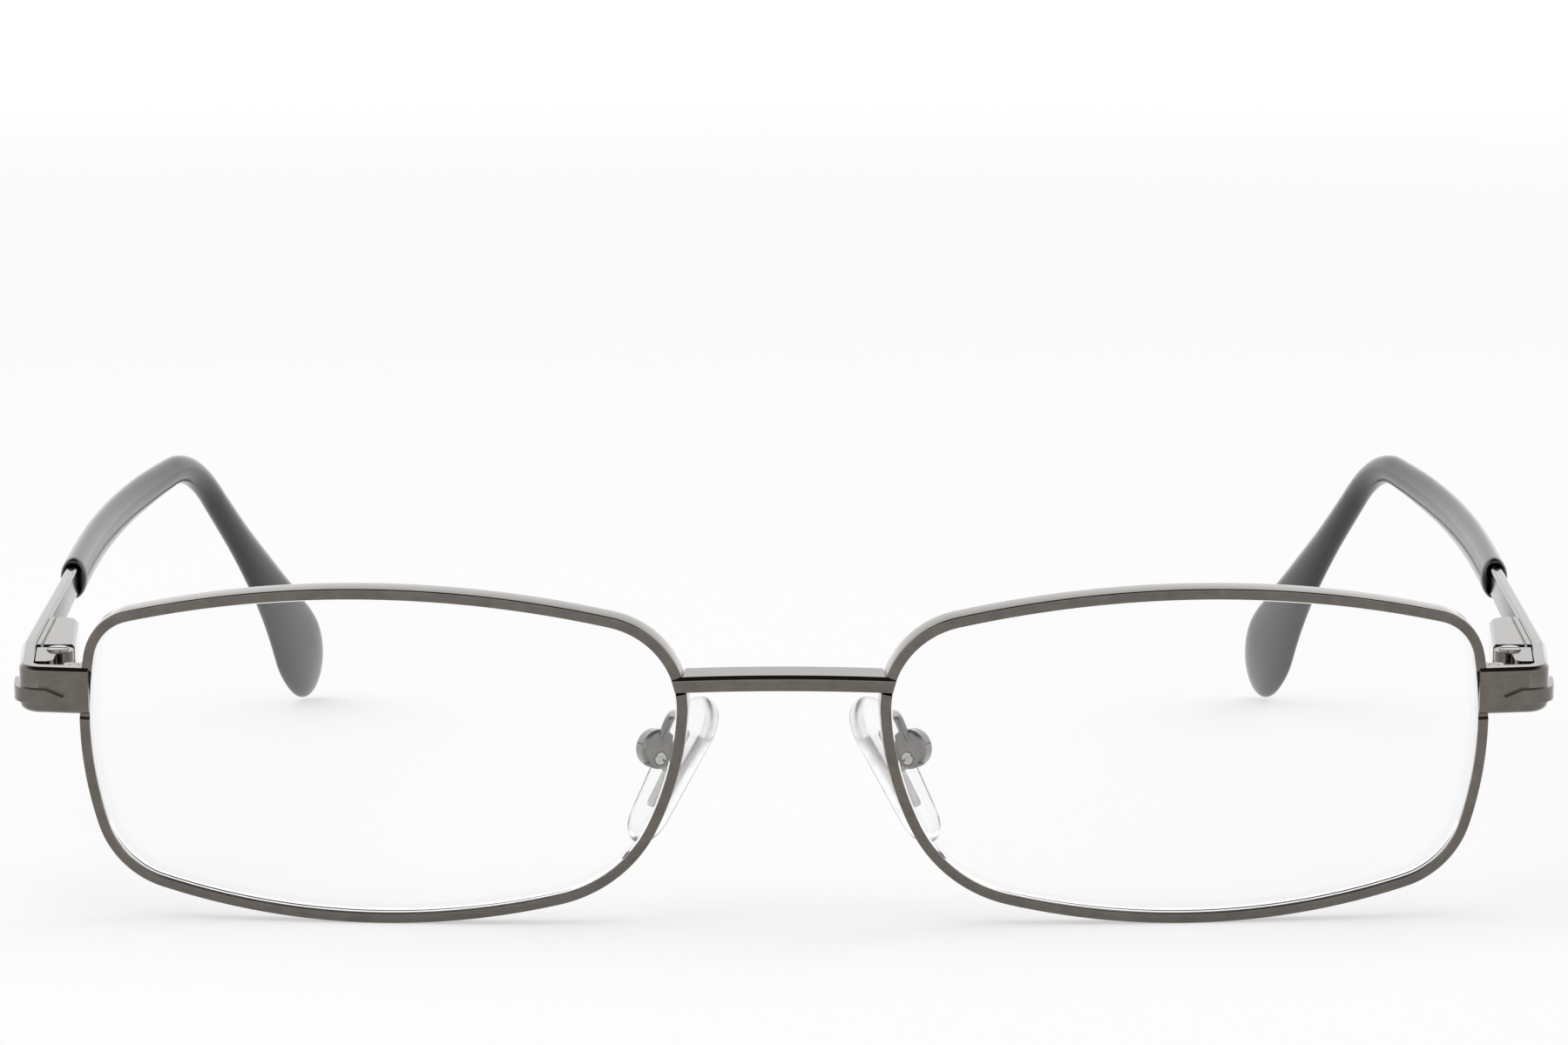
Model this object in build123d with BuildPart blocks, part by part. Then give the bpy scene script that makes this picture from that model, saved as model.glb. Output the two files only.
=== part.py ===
from build123d import *
from math import atan2, cos, degrees, hypot, radians, sin
import os

os.makedirs("parts", exist_ok=True)

# Rectangular full-rim metal eyeglasses, standing open on the rims and the temple tips.
# X runs across the front, +Y to the back, +Z up. Left and right are the wearer's, left at +X.
# The left half is modelled, and every paired piece is mirrored to the right at the end.

# Shared sizes
overrun = 12.0
braze_gap = 0.03

# Eyewire and lens, seen square to the lens. Corners go round from the lower temple side.
eye_width = 52.2
eye_height = 28.9
eye_gap = 18.4
eye_corner_shares = [(0.902, -0.784), (0.97, 0.753), (-0.987, 0.733), (-0.776, -0.815)]
temple_side_bulge = 1.9
brow_bulge = 3.9
nose_side_bulge = 2.6
bottom_bulge = 3.35
lower_temple_radius = 7.5
upper_temple_radius = 4.7
upper_nose_radius = 8.1
lower_nose_radius = 12.0
front_curve_radius = 130.0
wrap_angle = 4.5
rim_face = 0.93
rim_depth = 2.3
lens_thickness = 1.5
lens_seat = 0.42
lens_bevel = 0.55
lens_play = 0.04
rim_split = 0.2

# Pantoscopic angle between the front and the temples
pantoscopic_angle = 2.0

# Hinge pin: out beside the eyewire, back and up
hinge_beside_eye = 3.25
hinge_back = 13.3
hinge_up = 4.45

# Bridge
bridge_height = 1.35
bridge_depth = 3.2
bridge_arch = 0.6
bridge_bow = 1.1
bridge_up = 6.3
bridge_chamfer = 0.32
lap_proud = 0.3
lap_sunk = 0.25

# End piece: front plate, side arm and raised rib
plate_reveal = 0.35
plate_sweep = 0.8
plate_thickness = 1.25
arm_flare = 0.8
end_height = 4.2
end_corner_radius = 2.2
end_lower_radius = 0.7
end_chamfer = 0.3
rib_height = 1.3
rib_down = 0.45
rib_proud = 0.5
rib_front_inset = 2.2
rib_side_end = 3.4
rib_point = 1.6
rib_embed = 0.3

# Rim lock and its screw
lock_width = 1.9
lock_deep = 2.6
lock_height = 3.5
lock_edge_radius = 0.3
lock_screw_radius = 0.55
lock_head_radius = 0.85
lock_head_height = 0.4
screw_slot_width = 0.22
screw_slot_depth = 0.2
screw_play = 0.04

# Hinge: fork on the side arm, eye on the slider, screw through both
fork_radius = 1.4
fork_length = 4.2
fork_tail = 0.9
fork_height = 3.3
fork_nose_radius = 0.7
fork_base = 0.45
eye_ring_radius = 1.3
eye_ring_height = 1.2
eye_room = 0.2
leaf_play = 0.05
pin_radius = 0.6
pin_play = 0.03
pin_head_radius = 0.95
pin_head_height = 0.45
pin_head_sunk = 0.25

# Spring housing, slider rod and spring
housing_start = 1.7
housing_length = 10.9
housing_height = 3.3
housing_width = 3.5
housing_taper = 0.9
housing_front_radius = 0.4
housing_corner_radius = 1.9
housing_chamfer = 0.25
flange_thickness = 0.45
flange_groove = 0.22
flange_groove_depth = 0.4
front_wall = 1.2
rear_wall = 1.5
spring_bore_radius = 1.0
rod_out = 0.45
rod_radius = 0.42
rod_play = 0.05
neck_width = 1.5
neck_gap = 0.1
rod_head_radius = 0.85
rod_head_length = 0.7
rod_rest_space = 0.35
spring_wire_radius = 0.13
spring_wire_sides = 6
spring_turns = 5
spring_end_gap = 0.05

# Temple: metal bar, core wire and covered tip
temple_thickness = 1.1
temple_front_height = 3.8
temple_mouth_height = 2.7
core_height = 1.2
core_inset = 0.05
temple_edge_radius = 0.3
slope_step = 0.4
temple_line_out = 2.75
split_back = 1.1
split_gap = 0.05
bend_distance = 87.9
bend_radius = 14.0
tip_distance = 116.0
tip_drop = 32.1
toe_in = 15.4
toe_in_share = 0.262
toe_in_power = 1.5
sleeve_start = 34.0
mouth_lead = 1.0
sleeve_thickness = 2.5
paddle_height = 7.5
paddle_twist = -30.0
tip_under_share = 0.1
sleeve_play = 0.05

# Sections of the covered tip: shares of its length, its thickness, the paddle's height and its twist
sleeve_shares = [
    (0.00, 1.00, 0.530, 0.0),
    (0.20, 1.00, 0.520, 0.0),
    (0.40, 0.98, 0.470, 0.0),
    (0.53, 0.98, 0.385, 0.0),
    (0.61, 0.98, 0.390, 0.1),
    (0.70, 0.97, 0.460, 0.4),
    (0.80, 0.96, 0.670, 0.8),
    (0.90, 0.92, 1.000, 1.0),
    (0.95, 0.84, 0.880, 1.0),
    (0.985, 0.66, 0.600, 1.0),
    (1.00, 0.32, 0.230, 1.0),
]

# Sections of the core wire: share of its length, and of the step in height from core to bar
core_end_share = 0.9
core_shares = [
    (0.00, 1.00),
    (0.08, 0.62),
    (0.16, 0.16),
    (0.24, 0.00),
    (1.00, 0.00),
]

# Evenly spaced sections that the covered tip and the core wire are lofted through
loft_sections = 26

# Nose pads. The screw is the point that the pad rocks about.
pad_screw_beside_eye = 2.06
pad_screw_back = 7.9
pad_screw_down = 1.0
pad_splay = 28.0
pad_frontal = 30.0
pad_length = 14.2
pad_upper_radius = 3.5
pad_lower_radius = 2.8
pad_thickness = 1.5
pad_edge_radius = 0.65
pad_standoff = 2.45
pad_set_back = 0.9
pad_set_down = 0.3
box_radius = 1.77
box_thickness = 1.4
box_chamfer = 0.22
box_centre_out = 0.38
box_centre_up = 0.7
box_slot = 0.6
box_slot_reach = 0.95
tab_play = 0.05
tab_radius = 0.75
core_plate_length = 7.4
core_plate_width = 1.6
core_plate_thickness = 0.35
pad_screw_radius = 0.35
pad_screw_head_radius = 0.55
pad_screw_head_height = 0.18
arm_wire_radius = 0.42
arm_foot_down = 0.7
arm_foot_in = -0.4
arm_seat = 0.34
arm_knee_up = 3.2
arm_crown_in = 1.3
arm_crown_ahead = 1.0
arm_crown_up = 3.3
arm_bend_radius = 0.6


def direction(lean):
    """Unit vectors pointing back and up in a frame whose top leans forward by an angle."""
    return Vector(0, cos(radians(lean)), sin(radians(lean))), Vector(0, -sin(radians(lean)), cos(radians(lean)))


def sag(distance):
    """How far the front's sphere falls back at a distance from its pole."""
    return front_curve_radius - (front_curve_radius**2 - distance**2) ** 0.5


# Places across the front that follow from the eyes and the gap between them
eye_spacing = eye_gap + eye_width
hinge_out = eye_spacing / 2 + eye_width / 2 + hinge_beside_eye
pad_screw_out = eye_gap / 2 + pad_screw_beside_eye

# The rise of the temples is the angle at which rims and tips stand on one level.
lower_share = -(eye_corner_shares[0][1] + eye_corner_shares[-1][1]) / 2
rim_bottom = lower_share * eye_height / 2 + bottom_bulge + rim_face / 2
drop_to_rim = (hinge_up + rim_bottom) * cos(radians(pantoscopic_angle))
drop_to_rim += (hinge_back - sag(rim_bottom)) * sin(radians(pantoscopic_angle))
reach_to_rim = (hinge_back - sag(rim_bottom)) * cos(radians(pantoscopic_angle))
reach_to_rim -= (hinge_up + rim_bottom) * sin(radians(pantoscopic_angle))
tip_level = tip_drop + paddle_height * tip_under_share
rise_angle = degrees(atan2(tip_level - drop_to_rim, tip_distance + reach_to_rim))
lean_angle = rise_angle + pantoscopic_angle

front_back, front_up = direction(lean_angle)
temple_back, temple_up = direction(rise_angle)
across = Vector(1, 0, 0)

front = Plane(origin=(0, 0, 0), x_dir=across, z_dir=-front_back)
eye_across = across * cos(radians(wrap_angle)) + front_back * sin(radians(wrap_angle))
eye_ahead = across * sin(radians(wrap_angle)) - front_back * cos(radians(wrap_angle))
eye = Plane(origin=across * eye_spacing / 2, x_dir=eye_across, z_dir=eye_ahead)
sphere_centre = eye.origin - eye_ahead * front_curve_radius
hinge_point = across * hinge_out + front_back * hinge_back + front_up * hinge_up
hinge_plan = Plane(origin=hinge_point, x_dir=across, z_dir=temple_up)
hinge_side = Plane(origin=hinge_point, x_dir=temple_back, z_dir=across)
hinge_face = Plane(origin=hinge_point, x_dir=across, z_dir=-temple_back)


def eye_outline(grow):
    """The face inside the eyewire's middle line, grown by a distance."""
    corners = [(x * eye_width / 2, y * eye_height / 2) for x, y in eye_corner_shares]
    bulges = [temple_side_bulge, brow_bulge, nose_side_bulge, bottom_bulge]
    radii = [lower_temple_radius, upper_temple_radius, upper_nose_radius, lower_nose_radius]
    with BuildSketch() as outline:
        with BuildLine():
            for start, end, bulge in zip(corners, corners[1:] + corners[:1], bulges):
                middle = (Vector(start) + Vector(end)) / 2
                outward = (Vector(end) - Vector(start)).rotate(Axis.Z, -90).normalized()
                ThreePointArc(start, middle + outward * bulge, end)
        make_face()
        for corner, radius in zip(corners, radii):
            fillet(outline.vertices().sort_by_distance(corner)[0], radius)
    with BuildSketch() as grown:
        with BuildLine():
            for edge in outline.edges():
                reach = (edge.radius + grow) / edge.radius
                points = [edge.arc_center + (edge @ share - edge.arc_center) * reach for share in (0, 0.5, 1)]
                ThreePointArc(*points)
        make_face()
    return grown.sketch


def lens_solid(play):
    """The bevelled lens, or with play the groove that it seats in."""
    front_inset = (rim_depth - lens_thickness) / 2 - play
    with BuildPart() as solid:
        with BuildSketch(eye):
            add(eye_outline(lens_seat - rim_face / 2 + play))
        extrude(amount=overrun, both=True)
        with Locations(sphere_centre):
            Sphere(front_curve_radius - front_inset, mode=Mode.INTERSECT)
            Sphere(front_curve_radius - rim_depth + front_inset, mode=Mode.SUBTRACT)
        curved = solid.faces().filter_by(GeomType.SPHERE)
        chamfer([curved.sort_by(Axis.Y)[0].edges(), curved.sort_by(Axis.Y)[-1].edges()], lens_bevel)
    return solid.part


def eye_prism(grow):
    """The eye outline carried right through the front, grown by a distance."""
    with BuildPart() as prism:
        with BuildSketch(eye):
            add(eye_outline(grow))
        extrude(amount=overrun, both=True)
    return prism.part


def rim_envelope(play):
    """Everything inside the eyewire's outer edge, from just under its front face back."""
    with BuildPart() as envelope:
        add(eye_prism(rim_face / 2 + play))
        with Locations(sphere_centre):
            Sphere(front_curve_radius - lap_sunk + play, mode=Mode.INTERSECT)
    return envelope.part


def bridge_bar(play):
    """The bowed and arched bar, before its ends are fitted to the eyewires."""
    half_span = eye_spacing / 2 - eye_width / 2 + rim_face + plate_thickness
    bar_front = lap_proud + sag(eye_width / 2) - eye_width / 2 * sin(radians(wrap_angle))
    with BuildPart() as bar:
        with BuildSketch(Plane(origin=front_up * bridge_up, x_dir=across, z_dir=front_up)):
            with BuildLine():
                ends = [(-half_span, bar_front), (half_span, bar_front)]
                front_arc = ThreePointArc(ends[0], (0, bar_front - bridge_bow), ends[1])
                back = bar_front + bridge_depth
                back_arc = ThreePointArc((-half_span, back), (0, back - bridge_bow), (half_span, back))
                Line(front_arc @ 0, back_arc @ 0)
                Line(front_arc @ 1, back_arc @ 1)
            make_face()
        extrude(amount=bridge_height + bridge_arch + play, both=True)
        with BuildSketch(front):
            with BuildLine():
                low = bridge_up - bridge_height / 2 - play
                high = bridge_up + bridge_height / 2 + play
                under = ThreePointArc((-half_span, low), (0, low + bridge_arch), (half_span, low))
                over = ThreePointArc((-half_span, high), (0, high + bridge_arch), (half_span, high))
                Line(under @ 0, over @ 0)
                Line(under @ 1, over @ 1)
            make_face()
        extrude(amount=overrun, both=True, mode=Mode.INTERSECT)
    return bar.part


def end_outline(thickness):
    """Plan of the end piece's bent plate, from the eyewire round to the temple split."""
    with BuildSketch() as plan:
        with BuildLine():
            path = FilletPolyline(plate_start, plate_corner, plate_end, radius=end_corner_radius)
            offset(path, amount=thickness, side=Side.LEFT)
        make_face()
        with Locations((arm_outer, split_back)):
            Rectangle(overrun, overrun, align=(Align.CENTER, Align.MIN), mode=Mode.SUBTRACT)
    return plan.sketch


def slot_cut(plane, radius):
    """A screwdriver slot across a head whose top lies on a plane."""
    with BuildPart() as slot:
        with BuildSketch(plane):
            Rectangle(2 * radius, screw_slot_width)
        extrude(amount=-screw_slot_depth)
    return slot.part


# Places on the side of the front, in the hinge's plan
rim_side = eye.from_local_coords(Vector(eye_width / 2, hinge_up, -sag(hypot(eye_width / 2, hinge_up))))
rim_side = hinge_plan.to_local_coords(rim_side)
arm_outer = temple_line_out + temple_thickness / 2
plate_start = (rim_side.X - rim_face / 2 + plate_reveal, rim_side.Y - lap_proud)
plate_corner = (arm_outer - arm_flare, plate_start[1] + plate_sweep)
plate_end = (arm_outer, split_back)

# Lens
with BuildPart() as lens:
    add(lens_solid(0))

# Bridge, its ends fitted round both eyewires and lapped over their front faces
with BuildPart() as bridge:
    add(bridge_bar(0))
    long_edges = bridge.edges().sort_by(SortBy.LENGTH)[-4:]
    front_edges = long_edges.sort_by(Axis.Y)[:2]
    chamfer(front_edges.sort_by(Axis.Z)[-1], bridge_chamfer)
    for fitted in (rim_envelope(braze_gap), eye_prism(-rim_face / 2)):
        add(fitted, mode=Mode.SUBTRACT)
        add(mirror(fitted, about=Plane.YZ), mode=Mode.SUBTRACT)

# End piece: bent plate with the raised rib round its corner
with BuildPart() as rib:
    with BuildSketch(hinge_plan.offset(-rib_down)):
        add(end_outline(rib_embed))
        offset(amount=rib_proud)
    extrude(amount=rib_height / 2, both=True)
    with BuildSketch(hinge_face):
        tip = plate_start[0] + rib_front_inset
        with BuildLine():
            Polyline(
                (tip, -rib_down),
                (tip + rib_point, rib_height / 2 - rib_down),
                (tip + overrun, rib_height / 2 - rib_down),
                (tip + overrun, -rib_height / 2 - rib_down),
                (tip + rib_point, -rib_height / 2 - rib_down),
                close=True,
            )
        make_face()
    extrude(amount=overrun, both=True, mode=Mode.INTERSECT)
    with BuildSketch(hinge_side):
        tip = split_back - rib_side_end
        with BuildLine():
            Polyline(
                (tip, -rib_down),
                (tip - rib_point, rib_height / 2 - rib_down),
                (tip - overrun, rib_height / 2 - rib_down),
                (tip - overrun, -rib_height / 2 - rib_down),
                (tip - rib_point, -rib_height / 2 - rib_down),
                close=True,
            )
        make_face()
    extrude(amount=overrun, both=True, mode=Mode.INTERSECT)

with BuildPart() as end_piece:
    with BuildSketch(hinge_plan):
        add(end_outline(plate_thickness))
    extrude(amount=end_height / 2, both=True)
    outer_side = end_piece.faces().filter_by(GeomType.CYLINDER).sort_by(Axis.X)[-1]
    near_outer = end_piece.edges().filter_by(lambda edge: outer_side.distance_to(edge) < braze_gap)
    below = near_outer.filter_by(lambda edge: hinge_plan.to_local_coords(edge @ 0.5).Z < -end_height / 4)
    above = near_outer.filter_by(lambda edge: hinge_plan.to_local_coords(edge @ 0.5).Z > end_height / 4)
    fillet(below, end_lower_radius)
    chamfer(above, end_chamfer)
    add(rib.part)
    add(rim_envelope(braze_gap), mode=Mode.SUBTRACT)


def end_block(play):
    """The end piece's plate and arm at full height, grown by a distance."""
    with BuildPart() as block:
        with BuildSketch(hinge_plan):
            add(end_outline(plate_thickness))
            offset(amount=play)
        extrude(amount=end_height / 2 + play, both=True)
    return block.part


def rim_block(play):
    """The eye outline between the front and back of the eyewire, grown by a distance."""
    with BuildPart() as block:
        add(eye_prism(rim_face / 2 + play))
        with Locations(sphere_centre):
            Sphere(front_curve_radius + play, mode=Mode.INTERSECT)
            Sphere(front_curve_radius - rim_depth - play, mode=Mode.SUBTRACT)
    return block.part


# Eyewire: grooved ring, let in for the bridge and the end piece, and split at the rim lock
with BuildPart() as rim:
    with BuildSketch(eye):
        add(eye_outline(rim_face / 2))
        add(eye_outline(-rim_face / 2), mode=Mode.SUBTRACT)
    extrude(amount=overrun, both=True)
    with Locations(sphere_centre):
        Sphere(front_curve_radius, mode=Mode.INTERSECT)
        Sphere(front_curve_radius - rim_depth, mode=Mode.SUBTRACT)
    add(lens_solid(lens_play), mode=Mode.SUBTRACT)
    for fitted in (bridge_bar(braze_gap), end_block(braze_gap)):
        with BuildPart(mode=Mode.PRIVATE) as notch:
            add(fitted)
            add(rim_envelope(0), mode=Mode.SUBTRACT)
        add(notch.part, mode=Mode.SUBTRACT)
    with BuildSketch(hinge_plan):
        with Locations((rim_side.X, rim_side.Y)):
            Rectangle(2 * rim_depth, 2 * overrun)
    extrude(amount=rim_split / 2, both=True, mode=Mode.SUBTRACT)

# Rim lock: two blocks brazed to the eyewire's ends, drawn together by a screw from below
rim_outer = rim_side.X + rim_face / 2
lock_front = plate_start[1] + plate_thickness
lock_back = lock_front + lock_deep
lock_screw_place = (rim_outer + lock_width / 2, lock_back - lock_deep / 2)


def lock_half(side):
    """One half of the rim lock, above or below the eyewire's split."""
    with BuildPart() as half:
        with BuildSketch(hinge_plan.offset(side * rim_split / 2)):
            with Locations((rim_outer + lock_width, lock_back)):
                width = lock_width + rim_face / 2
                Rectangle(width, lock_deep + plate_thickness / 2, align=(Align.MAX, Align.MAX))
        extrude(amount=side * (lock_height - rim_split) / 2)
        upright = half.edges().filter_by(Axis(origin=(0, 0, 0), direction=temple_up))
        fillet(upright.sort_by(Axis.X)[-2:].sort_by(Axis.Y)[-1], lock_edge_radius)
        with BuildSketch(hinge_plan):
            with Locations(lock_screw_place):
                Circle(lock_screw_radius + screw_play)
        extrude(amount=overrun, both=True, mode=Mode.SUBTRACT)
        add(rim_block(braze_gap), mode=Mode.SUBTRACT)
        add(end_block(braze_gap), mode=Mode.SUBTRACT)
    return half.part


with BuildPart() as rim_lock_upper:
    add(lock_half(1))

with BuildPart() as rim_lock_lower:
    add(lock_half(-1))

with BuildPart() as rim_lock_screw:
    with BuildSketch(hinge_plan.offset(-lock_height / 2)):
        with Locations(lock_screw_place):
            Circle(lock_screw_radius)
    extrude(amount=lock_height)
    with BuildSketch(hinge_plan.offset(-lock_height / 2)):
        with Locations(lock_screw_place):
            Circle(lock_head_radius)
    extrude(amount=-lock_head_height)
    head_plane = Plane(rim_lock_screw.faces().sort_by(Axis.Z)[0])
    add(slot_cut(head_plane, lock_head_radius + screw_play), mode=Mode.SUBTRACT)

# Front hinge: a fork brazed inside the end piece's arm
arm_inner = arm_outer - plate_thickness
with BuildPart() as hinge_front:
    with BuildSketch(hinge_plan) as fork_plan:
        Circle(fork_radius)
        with Locations((0, fork_tail)):
            Rectangle(arm_outer - arm_flare, fork_length + fork_tail, align=(Align.MIN, Align.MAX))
        fillet(fork_plan.vertices().sort_by_distance((0, -fork_length))[0], fork_nose_radius)
    extrude(amount=fork_height / 2, both=True)
    with BuildSketch(hinge_plan):
        with Locations((arm_inner - fork_base, -eye_ring_radius - eye_room)):
            Rectangle(overrun, overrun, align=(Align.MAX, Align.MIN))
    extrude(amount=eye_ring_height / 2 + leaf_play, both=True, mode=Mode.SUBTRACT)
    with BuildSketch(hinge_plan):
        Circle(pin_radius + pin_play)
    extrude(amount=overrun, both=True, mode=Mode.SUBTRACT)
    with BuildSketch(hinge_plan.offset(fork_height / 2)):
        Circle(pin_head_radius + pin_play)
    extrude(amount=-pin_head_sunk - pin_play, mode=Mode.SUBTRACT)
    add(end_block(braze_gap), mode=Mode.SUBTRACT)

with BuildPart() as hinge_screw:
    with BuildSketch(hinge_plan.offset(-fork_height / 2)):
        Circle(pin_radius)
    extrude(amount=fork_height - pin_head_sunk)
    with BuildSketch(hinge_plan.offset(fork_height / 2 - pin_head_sunk)):
        Circle(pin_head_radius)
    extrude(amount=pin_head_height)
    head_face = hinge_screw.faces().sort_by(Axis.Z)[-1]
    fillet(head_face.edges(), pin_head_height / 4)
    head_plane = hinge_plan.offset(fork_height / 2 - pin_head_sunk + pin_head_height)
    add(slot_cut(head_plane, pin_head_radius + screw_play), mode=Mode.SUBTRACT)

# Spring hinge: slider with its eye, neck, rod and head
bar_inner = temple_line_out - temple_thickness / 2
housing_end = housing_start + housing_length
rod_end = housing_end - rear_wall - rod_rest_space
neck_end = housing_start - neck_gap


def across_hinge(back):
    """Plane square to the temple at a distance behind the hinge pin, facing back."""
    return Plane(origin=hinge_point + temple_back * back, x_dir=-across, z_dir=temple_back)


def rod_profile(radius, start, end):
    """Round bar on the slider's line between two distances behind the pin."""
    with BuildPart() as bar:
        with BuildSketch(across_hinge(start)):
            with Locations((-rod_out, 0)):
                Circle(radius)
        extrude(amount=end - start)
    return bar.part


with BuildPart() as hinge_slider:
    with BuildSketch(hinge_plan):
        Circle(eye_ring_radius)
        with Locations((rod_out, 0)):
            Rectangle(neck_width, neck_end, align=(Align.CENTER, Align.MIN))
        Circle(pin_radius + pin_play, mode=Mode.SUBTRACT)
    extrude(amount=eye_ring_height / 2, both=True)
    add(rod_profile(rod_radius, neck_end, rod_end))
    add(rod_profile(rod_head_radius, rod_end - rod_head_length, rod_end))

with BuildPart() as hinge_housing:
    with BuildSketch(hinge_plan) as housing_plan:
        outer = bar_inner - braze_gap
        inner = bar_inner - housing_width
        with BuildLine():
            Polyline(
                (outer, housing_start),
                (inner, housing_start),
                (inner + housing_taper, housing_end),
                (outer, housing_end),
                close=True,
            )
        make_face()
        fillet(housing_plan.vertices().sort_by_distance((inner, housing_start))[0], housing_front_radius)
        far_corner = (inner + housing_taper, housing_end)
        fillet(housing_plan.vertices().sort_by_distance(far_corner)[0], housing_corner_radius)
    extrude(amount=housing_height / 2, both=True)
    lids = hinge_housing.faces().filter_by(Axis(origin=(0, 0, 0), direction=temple_up))
    flank = hinge_housing.faces().sort_by(Axis.X)[-1]
    rims = lids.edges().filter_by(lambda edge: flank.distance_to(edge @ 0.5) > braze_gap)
    chamfer(rims, housing_chamfer)
    with BuildSketch(hinge_plan):
        with Locations((bar_inner - flange_thickness, housing_start)):
            Rectangle(flange_groove, 2 * overrun, align=(Align.MAX, Align.CENTER))
    extrude(amount=housing_height / 2, both=True, mode=Mode.SUBTRACT)
    with BuildSketch(hinge_plan):
        with Locations((bar_inner - flange_thickness - flange_groove / 2, housing_start)):
            Rectangle(2 * flange_groove, housing_length - housing_corner_radius, align=(Align.CENTER, Align.MIN))
    extrude(amount=housing_height / 2 - flange_groove_depth, both=True)
    add(rod_profile(rod_radius + rod_play, 0, housing_end - rear_wall), mode=Mode.SUBTRACT)
    bore_start = housing_start + front_wall
    add(rod_profile(spring_bore_radius, bore_start, housing_end - rear_wall), mode=Mode.SUBTRACT)

# Coil spring between the housing's front wall and the rod's head
spring_start = bore_start + spring_end_gap + spring_wire_radius
spring_end = rod_end - rod_head_length - spring_end_gap - spring_wire_radius
spring_radius = (rod_radius + spring_bore_radius) / 2
spring_length = spring_end - spring_start
spring_foot = hinge_point + temple_back * spring_start + across * rod_out
with BuildPart() as hinge_spring:
    with BuildLine() as coil:
        Helix(spring_length / spring_turns, spring_length, spring_radius, center=spring_foot, direction=temple_back)
    with BuildSketch(Plane(origin=coil.line @ 0, z_dir=coil.line % 0)):
        RegularPolygon(spring_wire_radius, spring_wire_sides)
    sweep(path=coil.line)

# Middle line of the temple: straight, then bent down behind the ear, and toed in towards the tip
with BuildLine(hinge_side) as temple_line:
    FilletPolyline((0, 0), (bend_distance, 0), (tip_distance, -tip_drop), radius=bend_radius)
line_wire = temple_line.wires()[0]
line_length = line_wire.length


def temple_point(along):
    """Point of the temple's middle line at a distance along it from the hinge."""
    share = along / line_length
    turn = max(0, (share - toe_in_share) / (1 - toe_in_share)) ** toe_in_power
    return line_wire @ share + across * (temple_line_out - toe_in * turn**2 * (3 - 2 * turn))


def temple_section(along):
    """Plane square to the temple at a distance along it, with its x axis to the wearer's side."""
    ahead = min(along + slope_step, line_length)
    behind = along - slope_step
    tangent = (temple_point(ahead) - temple_point(behind)).normalized()
    sideways = (across - tangent * across.dot(tangent)).normalized()
    return Plane(origin=temple_point(along), x_dir=sideways, z_dir=tangent)


def table_row(table, share):
    """A table's row of shares at any share between its first and last, in straight runs."""
    for low, high in zip(table, table[1:]):
        if share <= high[0]:
            part = (share - low[0]) / (high[0] - low[0])
            return [start + (end - start) * part for start, end in zip(low, high)]
    return table[-1]


def temple_bar(play):
    """The metal bar and core wire, or with play the bore that they lie in."""
    bar_start = split_back + split_gap
    bar_end = sleeve_start - mouth_lead
    core_end = sleeve_start + (line_length - sleeve_start) * core_end_share + play
    radius = temple_edge_radius + play
    thickness = temple_thickness + 2 * play
    with BuildPart() as bar:
        with BuildSketch(hinge_side.offset(temple_line_out)):
            with BuildLine():
                front_half = temple_front_height / 2 + play
                mouth_half = temple_mouth_height / 2 + play
                Polyline(
                    (bar_start, -front_half),
                    (bar_end, -mouth_half),
                    (bar_end, mouth_half),
                    (bar_start, front_half),
                    close=True,
                )
            make_face()
        extrude(amount=thickness / 2, both=True)
        sides = bar.faces().filter_by(Axis.X)
        long_edges = sides.edges().sort_by(SortBy.LENGTH)[-4:]
        fillet(long_edges, radius)
    with BuildPart() as core:
        for count in range(loft_sections):
            share, step = table_row(core_shares, count / (loft_sections - 1))
            height = core_height + (temple_mouth_height - 2 * core_inset - core_height) * step
            with BuildSketch(temple_section(bar_end + (core_end - bar_end) * share)):
                RectangleRounded(thickness - 2 * core_inset, height + 2 * play, radius)
        loft()
        add(bar.part)
    return core.part


with BuildPart() as temple:
    add(temple_bar(0))

with BuildPart() as temple_tip:
    for count in range(loft_sections):
        share, thickness, height, twist = table_row(sleeve_shares, count / (loft_sections - 1))
        with BuildSketch(temple_section(sleeve_start + (line_length - sleeve_start) * share)):
            Ellipse(sleeve_thickness * thickness / 2, paddle_height * height / 2, rotation=paddle_twist * twist)
    loft()
    add(temple_bar(sleeve_play), mode=Mode.SUBTRACT)

# Nose pads: directions back across the pad, out of its front and up along it
pad_across = Vector(sin(radians(pad_splay)), cos(radians(pad_splay)), 0)
pad_out = Vector(cos(radians(pad_splay)), -sin(radians(pad_splay)), 0) * cos(radians(pad_frontal))
pad_out += Vector(0, 0, sin(radians(pad_frontal)))
pad_screw_point = Vector(pad_screw_out, pad_screw_back, -pad_screw_down)
pad_side = Plane(origin=pad_screw_point, x_dir=pad_out, z_dir=-pad_across)
pad_face = Plane(origin=pad_screw_point - pad_out * pad_standoff, x_dir=pad_across, z_dir=pad_out)
pad_place = (pad_set_back, -pad_set_down)
tab_thickness = box_slot - 2 * tab_play


def pad_core_solid(play):
    """Plate inside the pad with the tab that reaches into the box's slot."""
    with BuildPart() as core:
        with BuildSketch(pad_face):
            with Locations(pad_place):
                RectangleRounded(core_plate_width, core_plate_length, core_plate_width / 3)
                offset(amount=play)
        extrude(amount=core_plate_thickness / 2 + play, both=True)
        with BuildSketch(pad_side):
            Circle(tab_radius + play)
            Rectangle(pad_standoff, 2 * tab_radius + 2 * play, align=(Align.MAX, Align.CENTER))
        extrude(amount=tab_thickness / 2 + play, both=True)
    return core.part


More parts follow.
